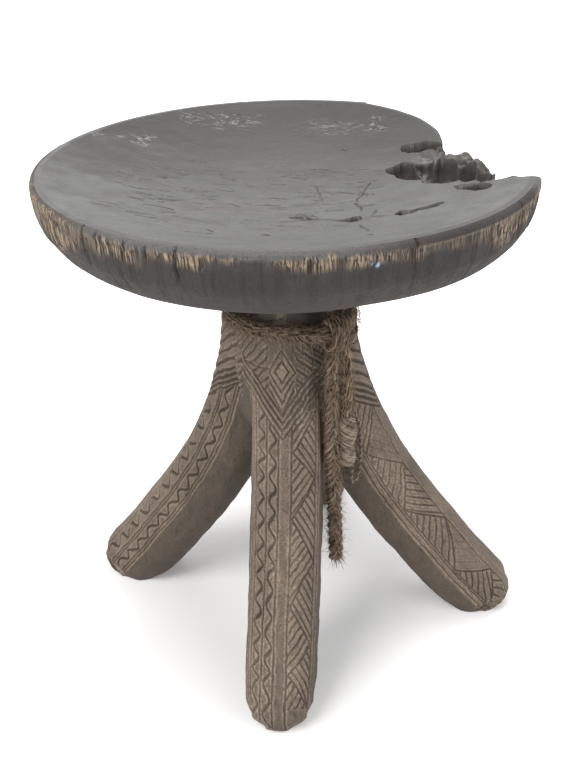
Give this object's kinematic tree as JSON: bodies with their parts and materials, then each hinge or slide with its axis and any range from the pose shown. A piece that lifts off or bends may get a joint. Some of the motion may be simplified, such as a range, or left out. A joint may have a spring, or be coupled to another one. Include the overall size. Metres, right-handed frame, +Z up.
{
  "type": "stool",
  "caption": "Low round stool carved from one block: dished seat, short neck, four splayed legs with chip carved faces, and a plaited cord tied round the neck.",
  "frame": {"origin": "on the floor, under the middle of the stool's outline", "axes": "+Z up, +Y away from the side that the picture shows, with one leg toward -Y, +X to the right seen from that side"},
  "size_m": [0.3661, 0.353, 0.396],
  "materials": {
    "carved_wood": "dark worn wood with a dull grey patina",
    "plaited_fibre": "old plaited plant fibre, rough",
    "bound_fibre": "fine plant fibre wound tight"
  },
  "bodies": {
    "stool": {"carved_stool": "carved_wood", "neck_loop": "plaited_fibre", "hitch": "plaited_fibre"},
    "hanging_cord": {"tail_strand": "plaited_fibre", "plaited_tail": "plaited_fibre", "knob_strand": "plaited_fibre", "knob_core": "bound_fibre", "upper_whipping": "bound_fibre", "lower_whipping": "bound_fibre", "thin_loop": "plaited_fibre"}
  },
  "joints": [
    {"name": "cord_swing", "type": "hinge", "parent": "stool", "child": "hanging_cord", "pos_m": [0.044, -0.0411, 0.2634], "axis": [-0.682, -0.7313, 0], "range_deg": [0, 50]}
  ]
}
